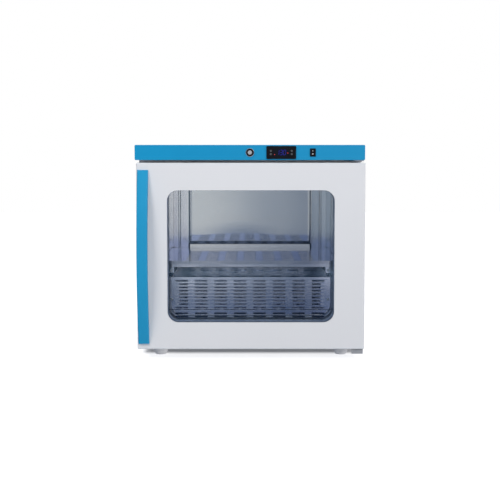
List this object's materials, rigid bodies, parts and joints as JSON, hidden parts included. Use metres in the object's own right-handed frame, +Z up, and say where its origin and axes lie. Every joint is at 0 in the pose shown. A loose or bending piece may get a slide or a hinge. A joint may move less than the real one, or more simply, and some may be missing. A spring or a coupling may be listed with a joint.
{
  "type": "blanket warmer",
  "caption": "Countertop warming cabinet with a right-hinged window door, bow handle, slotted shelf and basket, fan heating below and a control strip with lock, display and switch.",
  "frame": {"origin": "on the floor under the middle of the whole object", "axes": "+Z up, the front with the door faces -Y, +X is the viewer's right where the door is hinged"},
  "size_m": [0.6014, 0.5914, 0.5683],
  "materials": {
    "white_paint": "smooth white powder coat",
    "blue_paint": "satin light blue powder coat",
    "blue_plastic": "satin light blue moulding",
    "stainless": "bright rolled stainless sheet",
    "zinc_steel": "zinc plated steel",
    "mineral_wool": "rigid mineral wool slab",
    "door_core": "foamed door core",
    "white_plastic": "smooth white moulding",
    "black_plastic": "fine grained black moulding",
    "display_window": "smoked clear acrylic",
    "key_caps": "soft grey moulding",
    "foot_plastic": "light grey nylon",
    "bush_nylon": "natural nylon",
    "gasket_vinyl": "soft light grey vinyl with a magnet strip",
    "window_glass": "clear toughened glass with a faint cool tint",
    "spacer_bar": "mill finish spacer bar",
    "lock_chrome": "polished plating",
    "brass": "turned brass",
    "heater_sheath": "heat tinted steel tube",
    "sensor_metal": "plain steel can"
  },
  "bodies": {
    "cabinet": {"outer_wrapper": "white_paint", "base_pan": "zinc_steel", "rear_panel": "white_paint", "rear_access_cover": "white_paint", "liner": "stainless", "breaker_frame": "white_plastic", "insulation": "mineral_wool", "top_cover": "blue_paint", "control_fascia": "blue_paint", "control_tray": "zinc_steel", "lock_body": "lock_chrome", "lock_nut": "zinc_steel", "controller_housing": "black_plastic", "display_lens": "display_window", "switch_housing": "black_plastic", "mains_inlet": "black_plastic", "inlet_pins": "brass", "hinge_pins": "zinc_steel", "hinge_plate_upper": "zinc_steel", "hinge_bracket_lower": "zinc_steel", "case_screws": "zinc_steel", "shelf_rails": "stainless", "basket_rails": "zinc_steel", "plenum_cover": "stainless", "air_ducts": "stainless", "fan_frame": "black_plastic", "heater_element": "heater_sheath", "heater_brackets": "zinc_steel", "temp_probe": "sensor_metal", "limit_thermostat": "sensor_metal", "foot_inserts": "brass", "rear_feet": "foot_plastic"},
    "door": {"door_skin": "white_paint", "door_foam": "door_core", "door_inner_frame": "white_plastic", "door_cap_top": "white_plastic", "door_cap_bottom": "white_plastic", "door_gasket": "gasket_vinyl", "glass_outer": "window_glass", "glass_spacer": "spacer_bar", "glass_inner": "window_glass", "handle_bow": "blue_plastic", "handle_screws": "zinc_steel", "hinge_bushes": "bush_nylon"},
    "shelf": {"shelf_panel": "stainless"},
    "basket": {"basket_front": "stainless", "basket_tray": "stainless", "basket_runners": "zinc_steel", "basket_screws": "zinc_steel"},
    "lock_cylinder": {"lock_plug": "lock_chrome", "lock_cam": "lock_chrome"},
    "set_key": {"key_set": "key_caps"},
    "up_key": {"key_up": "key_caps"},
    "down_key": {"key_down": "key_caps"},
    "standby_key": {"key_standby": "key_caps"},
    "rocker": {"power_rocker": "black_plastic"},
    "fan_wheel": {"fan_rotor": "black_plastic"},
    "left_foot": {"foot_front_left": "foot_plastic"},
    "right_foot": {"foot_front_right": "foot_plastic"}
  },
  "joints": [
    {"name": "door_hinge", "type": "hinge", "parent": "cabinet", "child": "door", "pos_m": [0.28475, -0.2357, 0.2763], "axis": [0, 0, 1], "range_deg": [0, 120]},
    {"name": "basket_slide", "type": "slide", "parent": "cabinet", "child": "basket", "axis": [0, -1, 0], "range_m": [0, 0.1601]},
    {"name": "shelf_slide", "type": "slide", "parent": "cabinet", "child": "shelf", "axis": [0, -1, 0], "range_m": [0, 0.1287]},
    {"name": "lock_turn", "type": "hinge", "parent": "cabinet", "child": "lock_cylinder", "pos_m": [-0.00075, -0.2577, 0.54855], "axis": [0, -1, 0], "range_deg": [0, 90]},
    {"name": "rocker_tilt", "type": "hinge", "parent": "cabinet", "child": "rocker", "pos_m": [0.16295, -0.2571, 0.54855], "axis": [1, 0, 0], "range_deg": [0, 16]},
    {"name": "fan_spin", "type": "hinge", "parent": "cabinet", "child": "fan_wheel", "pos_m": [-0.00075, 0.0603, 0.105], "axis": [0, 0, 1], "continuous": true},
    {"name": "set_key_press", "type": "slide", "parent": "cabinet", "child": "set_key", "axis": [0, 1, 0], "range_m": [0, 0.0006], "stiffness_N_per_m": 800},
    {"name": "up_key_press", "type": "slide", "parent": "cabinet", "child": "up_key", "axis": [0, 1, 0], "range_m": [0, 0.0006], "stiffness_N_per_m": 800},
    {"name": "down_key_press", "type": "slide", "parent": "cabinet", "child": "down_key", "axis": [0, 1, 0], "range_m": [0, 0.0006], "stiffness_N_per_m": 800},
    {"name": "standby_key_press", "type": "slide", "parent": "cabinet", "child": "standby_key", "axis": [0, 1, 0], "range_m": [0, 0.0006], "stiffness_N_per_m": 800},
    {"name": "left_foot_adjust", "type": "slide", "parent": "cabinet", "child": "left_foot", "axis": [0, 0, -1], "range_m": [0, 0.012]},
    {"name": "right_foot_adjust", "type": "slide", "parent": "cabinet", "child": "right_foot", "axis": [0, 0, -1], "range_m": [0, 0.012]}
  ],
  "couplings": [
    {"joint": "basket_slide", "follows": "door_hinge", "m_per_rad": 0.075},
    {"joint": "shelf_slide", "follows": "door_hinge", "m_per_rad": 0.06}
  ]
}
